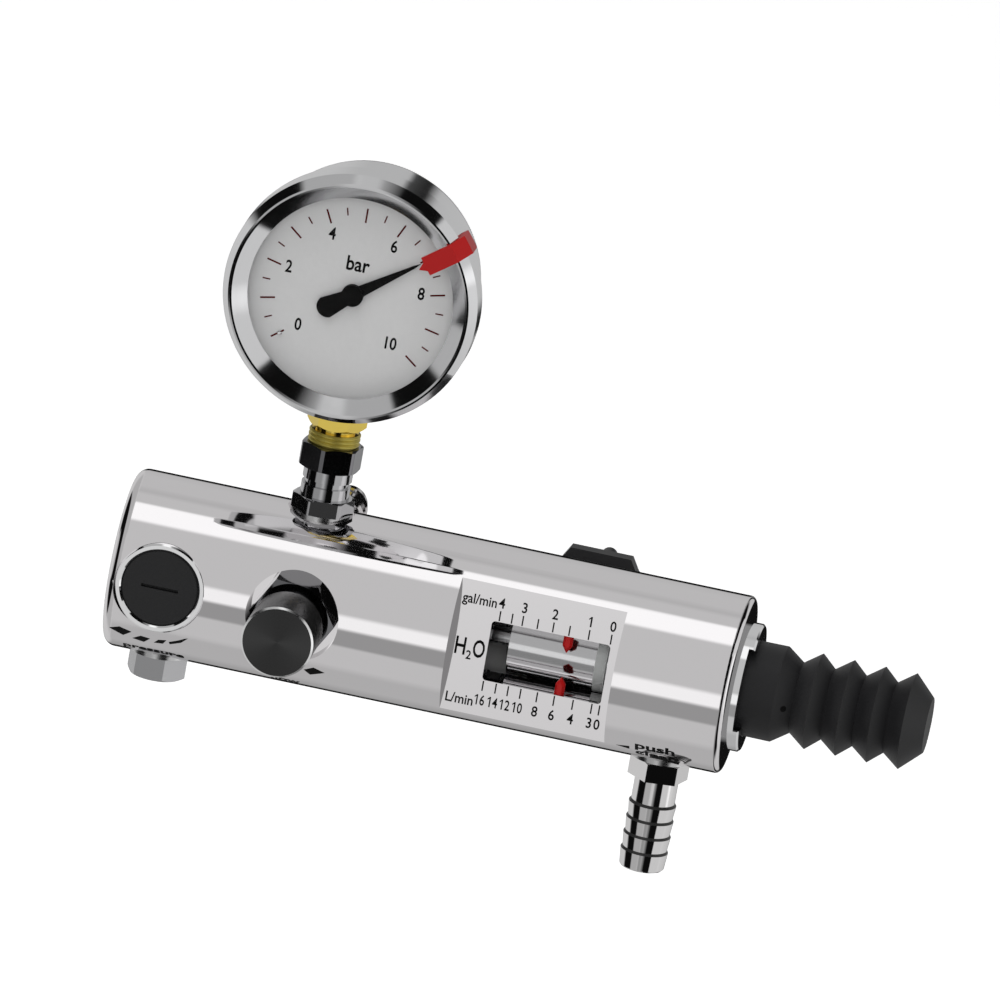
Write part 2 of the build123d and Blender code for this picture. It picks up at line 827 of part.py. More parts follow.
# Gauge case: a cup open to the front
dial_back = dial_face - dial_thickness
with BuildPart() as gauge_case:
    bar(gauge_centre, REAR, -dial_back, case_back, case_radius)
    back_edge = gauge_case.edges().filter_by(GeomType.CIRCLE).sort_by(Axis.Y)[-1]
    fillet(back_edge, case_back_edge_radius)
    bar(gauge_centre, REAR, -dial_back, case_back - case_wall, case_inner_radius, Mode.SUBTRACT)
    hole_radius = socket_radius + thread_clearance
    bar(gauge_port_centre, UP, stem_hex_end, gauge_height, hole_radius, Mode.SUBTRACT)
export(gauge_case, "gauge_case")

with BuildPart() as gauge_dial:
    bar(gauge_centre, FRONT, dial_back, dial_face, dial_radius)
    bar(gauge_centre, FRONT, dial_back, dial_face, dial_hole_radius, Mode.SUBTRACT)
export(gauge_dial, "gauge_dial")

with BuildPart() as gauge_lens:
    bar(gauge_centre, FRONT, lens_back, lens_face, lens_radius)
export(gauge_lens, "gauge_lens")

with BuildPart() as gauge_bezel:
    turned(
        gauge_centre,
        FRONT,
        [
            (bezel_back, bezel_bore_radius),
            (bezel_back, bezel_radius - bezel_wall),
            (bezel_back + bezel_wall, bezel_radius),
            (bezel_shoulder, bezel_radius),
            (bezel_front - bezel_crest_drop, bezel_ridge_radius + bezel_crest),
            (bezel_front, bezel_ridge_radius),
            (bezel_front - bezel_crest_drop, bezel_ridge_radius - bezel_crest),
            (lens_face + seat_clearance, bezel_inner_radius),
            (lens_face + seat_clearance, bezel_bore_radius),
        ],
    )
export(gauge_bezel, "gauge_bezel")

# Movement: spindle, plate and curved tube
hub_back = dial_face + needle_gap
needle_front = hub_back + needle_hub_thickness
with BuildPart() as needle_shaft:
    shaft_back = dial_back - movement_gap - movement_thickness
    bar(gauge_centre, FRONT, shaft_back, hub_back, shaft_radius)
    bar(gauge_centre, FRONT, hub_back, needle_front - seat_clearance, shaft_bore_radius)
export(needle_shaft, "needle_shaft")

with BuildPart() as movement_plate:
    movement_front = dial_back - movement_gap
    with BuildSketch(facing_plane(gauge_centre, FRONT, movement_front - movement_thickness)) as plate:
        Rectangle(movement_width, movement_height)
        Circle(shaft_radius + running_clearance, mode=Mode.SUBTRACT)
    extrude(plate.sketch, amount=movement_thickness, dir=FRONT)
export(movement_plate, "movement_plate")

with BuildPart() as bourdon_tube:
    start = -acos((socket_block_width / 2 + bourdon_gap) / (bourdon_radius - bourdon_half_thickness))
    tube_start = (
        gauge_centre[0] + bourdon_radius * cos(start),
        gauge_centre[1],
        gauge_centre[2] + bourdon_radius * sin(start),
    )
    with BuildSketch(Plane(origin=tube_start, x_dir=REAR, z_dir=(-sin(start), 0, cos(start)))) as oval:
        Ellipse(bourdon_half_width, bourdon_half_thickness)
    revolve(oval.sketch, axis=Axis(gauge_centre, FRONT), revolution_arc=bourdon_sweep)
export(bourdon_tube, "bourdon_tube")

# Needle, pointing at the reading
with BuildPart() as gauge_needle:
    with BuildSketch(dial_plane(hub_back, needle_angle)) as pointer:
        with BuildLine():
            point_start = needle_length - needle_point_length
            tail_shoulder = needle_tail - needle_tail_rise
            Polyline(
                (-tail_shoulder, needle_tail_width / 2),
                (0, needle_root_width / 2),
                (point_start, needle_tip_width / 2),
                (needle_length, 0),
                (point_start, -needle_tip_width / 2),
                (0, -needle_root_width / 2),
                (-tail_shoulder, -needle_tail_width / 2),
            )
            ThreePointArc(
                (-tail_shoulder, -needle_tail_width / 2),
                (-needle_tail, 0),
                (-tail_shoulder, needle_tail_width / 2),
            )
        make_face()
    extrude(pointer.sketch, amount=needle_thickness, dir=FRONT)
    bar(gauge_centre, FRONT, hub_back, needle_front, needle_hub_radius)
    hub_bore_radius = shaft_bore_radius + shaft_fit
    bar(gauge_centre, FRONT, hub_back, needle_front - seat_clearance, hub_bore_radius, Mode.SUBTRACT)
export(gauge_needle, "gauge_needle")

# Limit marker: a bent strip from in front of the glass over the rim, with a pointer tooth
with BuildPart() as limit_marker:
    strip_back = bezel_front + seat_clearance
    strip_front = strip_back + limit_thickness
    turned(
        gauge_centre,
        FRONT,
        [
            (strip_back, 0),
            (strip_front, 0),
            (strip_front, bezel_ridge_radius + bezel_crest),
            (bezel_shoulder + limit_thickness, limit_outer_radius),
            (limit_back, limit_outer_radius),
            (limit_back, limit_foot_radius),
            (bezel_shoulder + seat_clearance, limit_foot_radius),
            (strip_back, bezel_ridge_radius + bezel_crest),
        ],
    )
    with BuildSketch(dial_plane(limit_back, limit_angle)) as strip:
        with BuildLine():
            Polyline(
                (limit_shoulder_radius, limit_half_width),
                (limit_shoulder_radius, limit_point_half_width),
                (limit_point_radius, 0),
                (limit_shoulder_radius, -limit_point_half_width),
                (limit_shoulder_radius, -limit_half_width),
                (limit_outer_radius, -limit_half_width),
                (limit_outer_radius, limit_half_width),
                close=True,
            )
        make_face()
    extrude(strip.sketch, amount=strip_front - limit_back, dir=FRONT, mode=Mode.INTERSECT)
export(limit_marker, "limit_marker")

# Right end: guide, bellows, ring nut and cleaning rod
with BuildPart() as rod_guide:
    guide_bore_radius = rod_radius + running_clearance
    sleeve_outer_radius = tube_bore_radius - seat_clearance
    sleeve_inner_radius = sleeve_outer_radius - guide_sleeve_wall
    turned(
        axis_start,
        RIGHT,
        [
            (tube_right, sleeve_inner_radius),
            (tube_right, sleeve_outer_radius),
            (body_right_end, sleeve_outer_radius),
            (body_right_end, end_bore_radius),
            (guide_flange_face, end_bore_radius),
            (guide_flange_face, guide_bore_radius),
            (guide_flange_face - guide_plate_thickness, guide_bore_radius),
            (guide_flange_face - guide_plate_thickness, sleeve_inner_radius),
        ],
    )
    bar(inlet_centre, DOWN, 0, body_radius, passage_radius, Mode.SUBTRACT)
export(rod_guide, "rod_guide")

outer_line = [
    (guide_flange_face, bellows_flange_radius),
    (ring_neck_start, bellows_flange_radius),
    (ring_neck_start, bellows_root_radius),
    (bellows_root_end, bellows_root_radius),
]
inner_line = [
    (guide_flange_face, bellows_root_radius - bellows_wall),
    (bellows_root_end - bellows_wall / 2, bellows_root_radius - bellows_wall),
]
for number in range(bellows_pleats):
    valley = bellows_first_valley + number * bellows_pitch
    outer_line.append((valley, bellows_valley_radius))
    outer_line.append((valley + bellows_rise, bellows_peak_radius))
    inner_line.append((valley, bellows_valley_radius - bellows_wall))
    inner_line.append((valley + bellows_rise, bellows_peak_radius - bellows_peak_wall))
outer_line += [(bellows_end, bellows_end_radius), (bellows_end, 0)]
inner_line += [(rod_end, bellows_end_radius - bellows_wall), (rod_end, 0)]
with BuildPart() as bellows:
    turned(axis_start, RIGHT, outer_line + inner_line[::-1])
    vent_centre = on_axis((bellows_root_end + bellows_first_valley) / 2)
    bar(vent_centre, FRONT, 0, body_radius, vent_radius, Mode.SUBTRACT)
export(bellows, "bellows")

with BuildPart() as end_ring:
    ring_bore = bellows_root_radius + soft_clearance
    ring_face = body_length + end_ring_thickness
    turned(
        axis_start,
        RIGHT,
        [
            (ring_neck_start, ring_bore),
            (ring_neck_start, end_bore_radius),
            (body_length, end_bore_radius),
            (body_length, end_ring_radius),
            (ring_face - end_ring_chamfer, end_ring_radius),
            (ring_face, end_ring_radius - end_ring_chamfer),
            (ring_face, ring_bore),
        ],
    )
    # Spanner slot across the face, which leaves a lug above and one below
    with BuildSketch(facing_plane(axis_start, RIGHT, ring_face - end_ring_slot_depth)) as spanner_slot:
        Rectangle(2 * end_ring_radius, end_ring_slot_width)
    extrude(spanner_slot.sketch, amount=end_ring_slot_depth, dir=RIGHT, mode=Mode.SUBTRACT)
export(end_ring, "end_ring")

with BuildPart() as cleaning_rod:
    cap_start = rod_end - rod_cap_thickness - seat_clearance
    turned(
        axis_start,
        RIGHT,
        [
            (rod_head_left, rod_bore_radius),
            (rod_head_left, rod_head_radius),
            (rod_head_left + rod_head_thickness, rod_head_radius),
            (rod_head_left + rod_head_thickness, rod_radius),
            (cap_start, rod_radius),
            (cap_start, rod_cap_radius),
            (cap_start + rod_cap_thickness, rod_cap_radius),
            (cap_start + rod_cap_thickness, 0),
            (rod_head_left + rod_bore_length, 0),
            (rod_head_left + rod_bore_length, rod_bore_radius),
        ],
    )
    with BuildSketch(facing_plane(axis_start, RIGHT, rod_head_left)) as ways:
        with PolarLocations(rod_head_hole_circle, rod_head_holes):
            Circle(rod_head_hole_radius)
    extrude(ways.sketch, amount=rod_head_thickness, dir=RIGHT, mode=Mode.SUBTRACT)
export(cleaning_rod, "cleaning_rod")

# Bracket: pad on the body, plate, post with a rib, screw holes
with BuildPart() as bracket:
    slope = plate_half_height * tan(radians(plate_side_slope))
    top_half = plate_top_width / 2
    with BuildSketch(facing_plane(bracket_centre, REAR, plate_front)) as plate:
        with BuildLine():
            Polyline(
                (-top_half, plate_half_height),
                (-top_half - slope, 0),
                (-top_half, -plate_half_height),
                (top_half, -plate_half_height),
                (top_half + slope, 0),
                (top_half, plate_half_height),
                close=True,
            )
        make_face()
    extrude(plate.sketch, amount=plate_thickness, dir=REAR)
    with BuildSketch(facing_plane(bracket_centre, REAR, body_radius / 2)) as pad:
        Rectangle(2 * pad_half_length, 2 * pad_half_height)
    extrude(pad.sketch, amount=plate_front - body_radius / 2, dir=REAR)
    bar(bracket_centre, REAR, plate_back, standoff, post_radius)
    rear_edge = bracket.edges().filter_by(GeomType.CIRCLE).sort_by(Axis.Y)[-1]
    chamfer(rear_edge, post_edge_chamfer)
    rib_centre = on_axis(bracket_station, rib_centre_height)
    bar(rib_centre, REAR, plate_back, rib_end, rib_radius)
    saddle_radius = body_radius + seat_clearance
    bar(axis_start, RIGHT, 0, body_length, saddle_radius, Mode.SUBTRACT)
    bar(bracket_centre, REAR, standoff - mount_hole_depth, standoff, mount_hole_radius, Mode.SUBTRACT)
    for side in (-1, 1):
        hole_centre = on_axis(bracket_station + side * screw_spacing / 2)
        hole_radius = screw_radius + thread_clearance
        bar(hole_centre, REAR, 0, plate_back, hole_radius, Mode.SUBTRACT)
export(bracket, "bracket")

with BuildPart() as bracket_screws:
    screw_tip = body_radius - screw_engagement
    for side in (-1, 1):
        screw_centre = on_axis(bracket_station + side * screw_spacing / 2)
        bar(screw_centre, REAR, screw_tip, plate_back, screw_radius)
        bar(screw_centre, REAR, plate_back, plate_back + screw_head_height, screw_head_radius)
        socket_floor = plate_back + screw_head_height - screw_socket_depth
        with BuildSketch(facing_plane(screw_centre, REAR, socket_floor)) as socket:
            RegularPolygon(screw_socket_across_flats / 2, 6, major_radius=False)
        extrude(socket.sketch, amount=screw_socket_depth, dir=REAR, mode=Mode.SUBTRACT)
export(bracket_screws, "bracket_screws")
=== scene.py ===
from math import atan2, cos, pi, radians, sin, sqrt

import bmesh
import bpy
from mathutils import Matrix, Vector


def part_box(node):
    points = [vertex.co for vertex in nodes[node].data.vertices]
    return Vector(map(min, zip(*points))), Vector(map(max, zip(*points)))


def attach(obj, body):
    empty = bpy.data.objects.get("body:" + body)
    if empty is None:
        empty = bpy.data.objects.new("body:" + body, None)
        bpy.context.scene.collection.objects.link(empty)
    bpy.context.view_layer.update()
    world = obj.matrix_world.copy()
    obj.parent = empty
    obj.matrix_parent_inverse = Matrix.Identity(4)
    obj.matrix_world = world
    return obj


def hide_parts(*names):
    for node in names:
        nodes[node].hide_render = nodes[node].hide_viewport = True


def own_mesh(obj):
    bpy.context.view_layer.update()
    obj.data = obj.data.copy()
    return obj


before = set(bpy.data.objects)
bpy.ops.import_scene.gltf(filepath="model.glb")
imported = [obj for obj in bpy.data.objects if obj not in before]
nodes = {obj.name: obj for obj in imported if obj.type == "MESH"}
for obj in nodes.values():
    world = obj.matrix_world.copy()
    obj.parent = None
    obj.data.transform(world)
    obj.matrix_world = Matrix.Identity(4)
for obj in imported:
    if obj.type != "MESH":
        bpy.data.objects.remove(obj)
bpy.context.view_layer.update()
mm = 0.001
alongBody, front, down, up = (1, 0, 0), (0, -1, 0), (0, 0, -1), (0, 0, 1)

# Stations run along the body from its left end, out is towards the front, height is above its axis
housingLow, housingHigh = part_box("housing")
leftEnd = housingLow.x
axisDepth = (housingLow.y + housingHigh.y) / 2
bodyRadius = (housingHigh.z - housingLow.z) / 2


def spot(station, out=0.0, height=0.0):
    return Vector((leftEnd + station * mm, axisDepth - out * mm, height * mm))


def addNode(owner, kind, links=(), **values):
    # links are (input, other node, its output); values go to properties or to input defaults
    node = owner.node_tree.nodes.new(kind)
    for key, value in values.items():
        if hasattr(node, key):
            setattr(node, key, value)
        else:
            node.inputs[key.replace("_", " ")].default_value = value
    for socket, other, output in links:
        owner.node_tree.links.new(other.outputs[output], node.inputs[socket])
    return node


def addMath(owner, operation, links, second=None):
    node = addNode(owner, "ShaderNodeMath", links, operation=operation)
    if second is not None:
        node.inputs[1].default_value = second
    return node


def shaderOf(finish):
    return finish.node_tree.nodes["Principled BSDF"]


def feed(finish, socket, node, output=0):
    finish.node_tree.links.new(node.outputs[output], shaderOf(finish).inputs[socket])


def newFinish(name, colour, metallic=0.0, roughness=0.5, **sockets):
    finish = bpy.data.materials.new(name)
    finish.use_nodes = True
    inputs = shaderOf(finish).inputs
    inputs["Base Color"].default_value = (*colour, 1.0)
    inputs["Metallic"].default_value = metallic
    inputs["Roughness"].default_value = roughness
    for socket, value in sockets.items():
        inputs[socket.replace("_", " ")].default_value = value
    return finish


def addNoise(finish, scale, detail, stretch=(1.0, 1.0, 1.0)):
    # scale is in grains per metre
    coords = addNode(finish, "ShaderNodeTexCoord")
    mapping = addNode(finish, "ShaderNodeMapping", [("Vector", coords, "Object")], Scale=stretch)
    return addNode(finish, "ShaderNodeTexNoise", [("Vector", mapping, 0)], Scale=scale, Detail=detail)


def addGrain(finish, scale, depth):
    # Fine surface relief, depth in metres
    noise = addNoise(finish, scale, detail=3.0)
    bump = addNode(finish, "ShaderNodeBump", [("Height", noise, 0)], Strength=1.0, Distance=depth)
    feed(finish, "Normal", bump)


def varyRoughness(finish, scale, low, high, stretch=(1.0, 1.0, 1.0)):
    noise = addNoise(finish, scale, detail=4.0, stretch=stretch)
    spread = addNode(finish, "ShaderNodeMapRange", [("Value", noise, 0)], To_Min=low, To_Max=high)
    feed(finish, "Roughness", spread)


def addRamp(owner, source, stops, stepped=False):
    # stops are (position, grey level)
    ramp = addNode(owner, "ShaderNodeValToRGB", [("Fac", source, 0)])
    elements = ramp.color_ramp.elements
    elements.remove(elements[1])
    if stepped:
        ramp.color_ramp.interpolation = "CONSTANT"
    for number, (position, level) in enumerate(stops):
        element = elements.new(position) if number else elements[0]
        element.position = position
        element.color = (level, level, level, 1.0)
    return ramp


def varyColour(finish, scale, darkLevel, lightLevel):
    noise = addNoise(finish, scale, detail=5.0)
    feed(finish, "Base Color", addRamp(finish, noise, [(0.35, darkLevel), (0.65, lightLevel)]))


def byFacing(finish, stops):
    # Steps from the end that faces the front, at 0, over its chamfer to the side, at 1
    geometry = addNode(finish, "ShaderNodeNewGeometry")
    normal = addNode(finish, "ShaderNodeSeparateXYZ", [("Vector", geometry, "Normal")])
    return addRamp(finish, addMath(finish, "ADD", [(0, normal, "Y")], 1.0), stops, stepped=True)


def addTurnedFace(finish, colours, metallics, roughnesses, anisotropic):
    # A turned dark end with a bright rim, on a black side
    feed(finish, "Base Color", byFacing(finish, colours))
    feed(finish, "Metallic", byFacing(finish, metallics))
    feed(finish, "Roughness", byFacing(finish, roughnesses))
    shaderOf(finish).inputs["Anisotropic"].default_value = anisotropic
    feed(finish, "Tangent", addNode(finish, "ShaderNodeTangent", direction_type="RADIAL", axis="Y"))


# haze varies the roughness: grains per metre, lowest, highest. grain is relief: grains per metre, depth in
# metres. mottle varies the colour: grains per metre, dark and light grey
finishRecipes = {
    "bodyChrome": dict(colour=(0.95, 0.93, 0.94), metallic=1.0, roughness=0.04, haze=(60.0, 0.02, 0.055)),
    "trimChrome": dict(colour=(0.93, 0.93, 0.935), metallic=1.0, roughness=0.05, haze=(90.0, 0.03, 0.07)),
    "platedNickel": dict(colour=(0.88, 0.87, 0.87), metallic=1.0, roughness=0.06, haze=(120.0, 0.04, 0.09)),
    "adapterNickel": dict(colour=(0.55, 0.55, 0.56), metallic=1.0, roughness=0.07, haze=(120.0, 0.05, 0.1)),
    "darkNickel": dict(colour=(0.22, 0.22, 0.23), metallic=1.0, roughness=0.1, haze=(120.0, 0.07, 0.14)),
    "polishedSteel": dict(colour=(0.86, 0.86, 0.87), metallic=1.0, roughness=0.08, haze=(120.0, 0.05, 0.12)),
    "turnedSteel": dict(
        colour=(0.62, 0.62, 0.63), metallic=1.0, roughness=0.25, haze=(200.0, 0.18, 0.32, (8.0, 1.0, 1.0))
    ),
    "satinSteel": dict(colour=(0.52, 0.52, 0.53), metallic=1.0, roughness=0.2, haze=(250.0, 0.14, 0.26)),
    # Pale diffuse colour for the bore sleeve, a painted reflection standing in for the bright chrome bore
    "palePaintedReflection": dict(colour=(0.9, 0.9, 0.9), roughness=0.4, haze=(500.0, 0.34, 0.46)),
    "yellowBrass": dict(colour=(0.90, 0.68, 0.14), metallic=1.0, roughness=0.12, haze=(150.0, 0.08, 0.2)),
    "threadBrass": dict(colour=(0.60, 0.50, 0.11), metallic=0.7, roughness=0.35, haze=(400.0, 0.3, 0.42)),
    "blackPlastic": dict(colour=(0.012, 0.012, 0.013), roughness=0.45, grain=(2600.0, 0.00002)),
    "knobBlack": dict(
        colour=(0.012, 0.012, 0.013), roughness=0.12,
        turned=dict(
            colours=[(0.0, 0.07), (0.05, 0.9), (0.5, 0.012)],
            metallics=[(0.0, 1.0), (0.5, 0.0)],
            roughnesses=[(0.0, 0.26), (0.05, 0.15), (0.5, 0.22)],
            anisotropic=0.97,
        ),
    ),
    "bellowsRubber": dict(colour=(0.010, 0.010, 0.011), roughness=0.5, grain=(1800.0, 0.00002)),
    "sealRubber": dict(colour=(0.02, 0.02, 0.02), roughness=0.4, grain=(2500.0, 0.00001)),
    "washerSteel": dict(colour=(0.7, 0.7, 0.7), metallic=1.0, roughness=0.22, haze=(900.0, 0.16, 0.3)),
    "pointerRed": dict(
        colour=(0.42, 0.005, 0.005), roughness=0.35, grain=(1500.0, 0.000008), Specular_IOR_Level=0.3
    ),
    "floatWhite": dict(colour=(0.62, 0.64, 0.63), roughness=0.45, grain=(1500.0, 0.00001)),
    "dialPaint": dict(colour=(0.74, 0.74, 0.74), roughness=0.55, mottle=(900.0, 0.73, 0.75)),
    "needlePaint": dict(
        colour=(0.004, 0.004, 0.004), roughness=0.6, grain=(2500.0, 0.000006), Specular_IOR_Level=0.1
    ),
    "clearGlass": dict(
        colour=(0.02, 0.02, 0.02), roughness=0.02, haze=(60.0, 0.01, 0.03), Alpha=0.03, IOR=1.5
    ),
    "clearTube": dict(
        colour=(0.02, 0.02, 0.02), roughness=0.03, haze=(60.0, 0.02, 0.05), Alpha=0.06, IOR=1.5
    ),
    # Painted shade for the barb's up-facing shoulders, which lie in shadow under each ring
    "shoulderPaintedShade": dict(colour=(0.05, 0.05, 0.05), metallic=0.6, roughness=0.35, haze=(300.0, 0.3, 0.4)),
    # Black for the print, and painted shade for the bellows' vent hole
    "printBlack": dict(
        colour=(0.004, 0.004, 0.004), roughness=0.6, grain=(4000.0, 0.000003), Specular_IOR_Level=0.1
    ),
    "printRed": dict(
        colour=(0.09, 0.006, 0.006), roughness=0.6, grain=(4000.0, 0.000003), Specular_IOR_Level=0.1
    ),
}


def buildFinish(name, haze=None, grain=None, mottle=None, turned=None, **base):
    finish = newFinish(name, **base)
    if haze:
        varyRoughness(finish, *haze)
    if grain:
        addGrain(finish, *grain)
    if mottle:
        varyColour(finish, *mottle)
    if turned:
        addTurnedFace(finish, **turned)
    return finish


finishes = {name: buildFinish(name, **recipe) for name, recipe in finishRecipes.items()}
nodeFinishes = {
    "bodyChrome": "housing",
    "trimChrome": "pressure_ring end_ring",
    "platedNickel": "inlet_barb rear_barb",
    "adapterNickel": "gauge_adapter",
    "darkNickel": "gauge_nut valve_bonnet",
    "polishedSteel": "gauge_case gauge_bezel float_piston cleaning_rod",
    "turnedSteel": (
        "spring_plate pressure_spring valve_stem metering_cone float_spring rod_guide bracket_screws"
    ),
    "satinSteel": "blanking_plug",
    "yellowBrass": "gauge_stem needle_shaft movement_plate bourdon_tube",
    "blackPlastic": "pressure_adjuster bracket",
    "knobBlack": "flow_knob",
    "bellowsRubber": "bellows",
    "sealRubber": "left_tube_seal right_tube_seal",
    "washerSteel": "inlet_washer rear_barb_washer plug_washer gauge_washer",
    "pointerRed": "upper_marker lower_marker limit_marker",
    "floatWhite": "float_ring",
    "dialPaint": "gauge_dial",
    "needlePaint": "gauge_needle",
    "clearGlass": "gauge_lens",
    "clearTube": "sight_tube",
}
for finishName, nodeNames in nodeFinishes.items():
    for nodeName in nodeNames.split():
        nodes[nodeName].data.materials.clear()
        nodes[nodeName].data.materials.append(finishes[finishName])
print("finishes on", len(nodes), "nodes")


def addObject(name, data):
    made = bpy.data.objects.new(name, data)
    bpy.context.scene.collection.objects.link(made)
    return made


def newPiece(name, points, faces, finishName, body, sharp=None):
    # Flat faces, or smooth ones with edges sharper than sharp degrees
    mesh = bpy.data.meshes.new(name)
    mesh.from_pydata([tuple(point) for point in points], [], faces)
    mesh.validate()
    work = bmesh.new()
    work.from_mesh(mesh)
    bmesh.ops.recalc_face_normals(work, faces=work.faces[:])
    work.to_mesh(mesh)
    work.free()
    mesh.materials.append(finishes[finishName])
    if sharp is None:
        mesh.shade_flat()
    else:
        mesh.shade_smooth()
        mesh.set_sharp_from_angle(angle=radians(sharp))
    piece = addObject(name, mesh)
    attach(piece, body)
    return piece


def ringFaces(rings, count, closed):
    # Quads between rings of count points each; an open run gets a cap at both ends
    faces = []
    for ring in range(rings if closed else rings - 1):
        here, after = ring * count, (ring + 1) % rings * count
        for number in range(count):
            nextOne = (number + 1) % count
            faces.append((here + number, here + nextOne, after + nextOne, after + number))
    if not closed:
        last = (rings - 1) * count
        faces += [tuple(range(count)), tuple(last + number for number in reversed(range(count)))]
    return faces


def lathe(profile, steps, centre, outward, across):
    # profile is (distance outward, radius); a closed ring of it is turned round the axis
    along, side = Vector(outward), Vector(across)
    third = along.cross(side)
    points = []
    for step in range(steps):
        angle = 2 * pi * step / steps
        radial = side * cos(angle) + third * sin(angle)
        points += [centre + along * distance * mm + radial * radius * mm for distance, radius in profile]
    return points, ringFaces(steps, len(profile), True)


def joined(*solids):
    points, faces = [], []
    for morePoints, moreFaces in solids:
        shift = len(points)
        points += morePoints
        faces += [tuple(number + shift for number in face) for face in moreFaces]
    return points, faces


axisRadius = 0.01  # in mm, where a turned profile meets its axis
letters = {"capitalShare": 0.7, "curveSteps": 3}  # a capital's height as a share of the font's size


def lettersMesh(words, height, width=None, bold=0.0, squeeze=1.0):
    # Flat words in the XY plane, centred, with their capital height and width in mm
    curve = bpy.data.curves.new("letters", "FONT")
    curve.body = words
    curve.align_x = "CENTER"
    curve.size = 1.0
    curve.offset = bold
    curve.resolution_u = letters["curveSteps"]
    holder = addObject("letters", curve)
    bpy.context.view_layer.update()
    graph = bpy.context.evaluated_depsgraph_get()
    mesh = bpy.data.meshes.new_from_object(holder.evaluated_get(graph))
    bpy.data.objects.remove(holder)
    bpy.data.curves.remove(curve)
    xs = [v.co.x for v in mesh.vertices]
    middle, span = (min(xs) + max(xs)) / 2, max(xs) - min(xs)
    capital = letters["capitalShare"]
    scaleUp = height * mm / capital
    scaleAcross = scaleUp * squeeze if width is None else width * mm / span
    for v in mesh.vertices:
        v.co = Vector(((v.co.x - middle) * scaleAcross, (v.co.y - capital / 2) * scaleUp, 0.0))
    return mesh


def shifted(mesh, x, y):
    mesh.transform(Matrix.Translation((x, y, 0)))
    return mesh


def printOn(name, flats, place, finishName, body, thickness=0.03, slices=0.0):
    # flats are meshes or outlines lying in XY; place(x, y, lift) sets each point on its surface
    work = bmesh.new()
    for flat in flats:
        if isinstance(flat, bpy.types.Mesh):
            work.from_mesh(flat)
            bpy.data.meshes.remove(flat)
        else:
            work.faces.new([work.verts.new((x, y, 0.0)) for x, y in flat])
    if slices:
        low = min(v.co.y for v in work.verts)
        high = max(v.co.y for v in work.verts)
        for number in range(1, int((high - low) / slices) + 1):
            everything = work.verts[:] + work.edges[:] + work.faces[:]
            cutPlace = (0, low + number * slices, 0)
            bmesh.ops.bisect_plane(work, geom=everything, plane_co=cutPlace, plane_no=(0, 1, 0))
    bmesh.ops.recalc_face_normals(work, faces=work.faces[:])
    for face in work.faces:
        if face.normal.z < 0:
            face.normal_flip()
    top = bmesh.ops.extrude_face_region(work, geom=work.faces[:])["geom"]
    raised = {v for v in top if isinstance(v, bmesh.types.BMVert)}
    for v in work.verts:
        v.co.z = thickness * mm if v in raised else -thickness * mm / 2
    bmesh.ops.recalc_face_normals(work, faces=work.faces[:])
    for v in work.verts:
        v.co = place(v.co.x, v.co.y, v.co.z)
    bmesh.ops.triangulate(work, faces=[f for f in work.faces if len(f.verts) > 4])
    mesh = bpy.data.meshes.new(name)
    work.to_mesh(mesh)
    work.free()
    mesh.materials.append(finishes[finishName])
    piece = addObject(name, mesh)
    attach(piece, body)
    return piece


scales = {
    "facetOut": 15.5,
    "windowEdge": 8.3,
    "tickGap": 0.25,
    "tickLength": 2.8,
    "tickWidth": 0.38,
    "numberHeight": 2.8,
    "numberSqueeze": (0.86, 0.7),  # for one and for two figures
    "bold": 0.016,
    "flagOnOne": ((-0.5, -0.95), (-0.5, -0.6), (0.1, 0.0), (0.1, -0.5)),
    "upperRow": 13.6,
    "lowerRow": -13.9,
    # Figure, if any, and station of each tick
    "gallons": [
        ("0", 134.2), ("1", 128.2), ("", 122.9), ("2", 118.5), ("", 114.3), ("3", 110.2), ("", 107.3),
        ("4", 104.0),
    ],
    "litres": [
        ("0", 134.3), ("3", 132.2), ("4", 127.1), ("6", 122.0), ("8", 117.4), ("10", 112.9), ("12", 109.5),
        ("14", 106.2), ("16", 102.7),
    ],
    # Text, station, height above the axis, capital height, width
    "words": [
        ("gal/min", 98.0, 13.3, 2.7, 9.3),
        ("L/min", 97.1, -14.6, 2.7, 7.4),
        ("H", 95.0, -0.1, 4.8, 2.8),
        ("2", 97.5, -2.3, 2.4, 1.4),
        ("O", 100.0, -0.1, 4.8, 3.2),
    ],
}


def onFacet(x, y, lift):
    return Vector((leftEnd + x, axisDepth - scales["facetOut"] * mm - lift, y))


def barOutline(x, y, across, tall):
    return [
        (x - across / 2, y - tall / 2),
        (x + across / 2, y - tall / 2),
        (x + across / 2, y + tall / 2),
        (x - across / 2, y + tall / 2),
    ]


def flagOnOne(number, x, y):
    # The short stroke at the top left of a leading 1
    left = min(v.co.x for v in number.vertices) / mm + x
    top = max(v.co.y for v in number.vertices) / mm + y
    return [((left + across) * mm, (top + upwards) * mm) for across, upwards in scales["flagOnOne"]]


def scaleRow(readings, side):
    edge, length = scales["windowEdge"], scales["tickLength"]
    row = scales["upperRow"] if side > 0 else scales["lowerRow"]
    middle = side * (edge + scales["tickGap"] + length / 2)
    flats = []
    for figures, station in readings:
        flats.append(barOutline(station * mm, middle * mm, scales["tickWidth"] * mm, length * mm))
        if figures:
            squeeze = scales["numberSqueeze"][len(figures) - 1]
            number = lettersMesh(figures, scales["numberHeight"], bold=scales["bold"], squeeze=squeeze)
            if figures[0] == "1":
                flats.append(flagOnOne(number, station, row))
            flats.append(shifted(number, station * mm, row * mm))
    return flats


scaleWords = [
    shifted(lettersMesh(text, height, width, scales["bold"]), x * mm, y * mm)
    for text, x, y, height, width in scales["words"]
]
scaleFlats = scaleRow(scales["gallons"], 1) + scaleRow(scales["litres"], -1) + scaleWords
scalePrint = printOn("scale_print", scaleFlats, onFacet, "printBlack", "body")
print("scales printed")

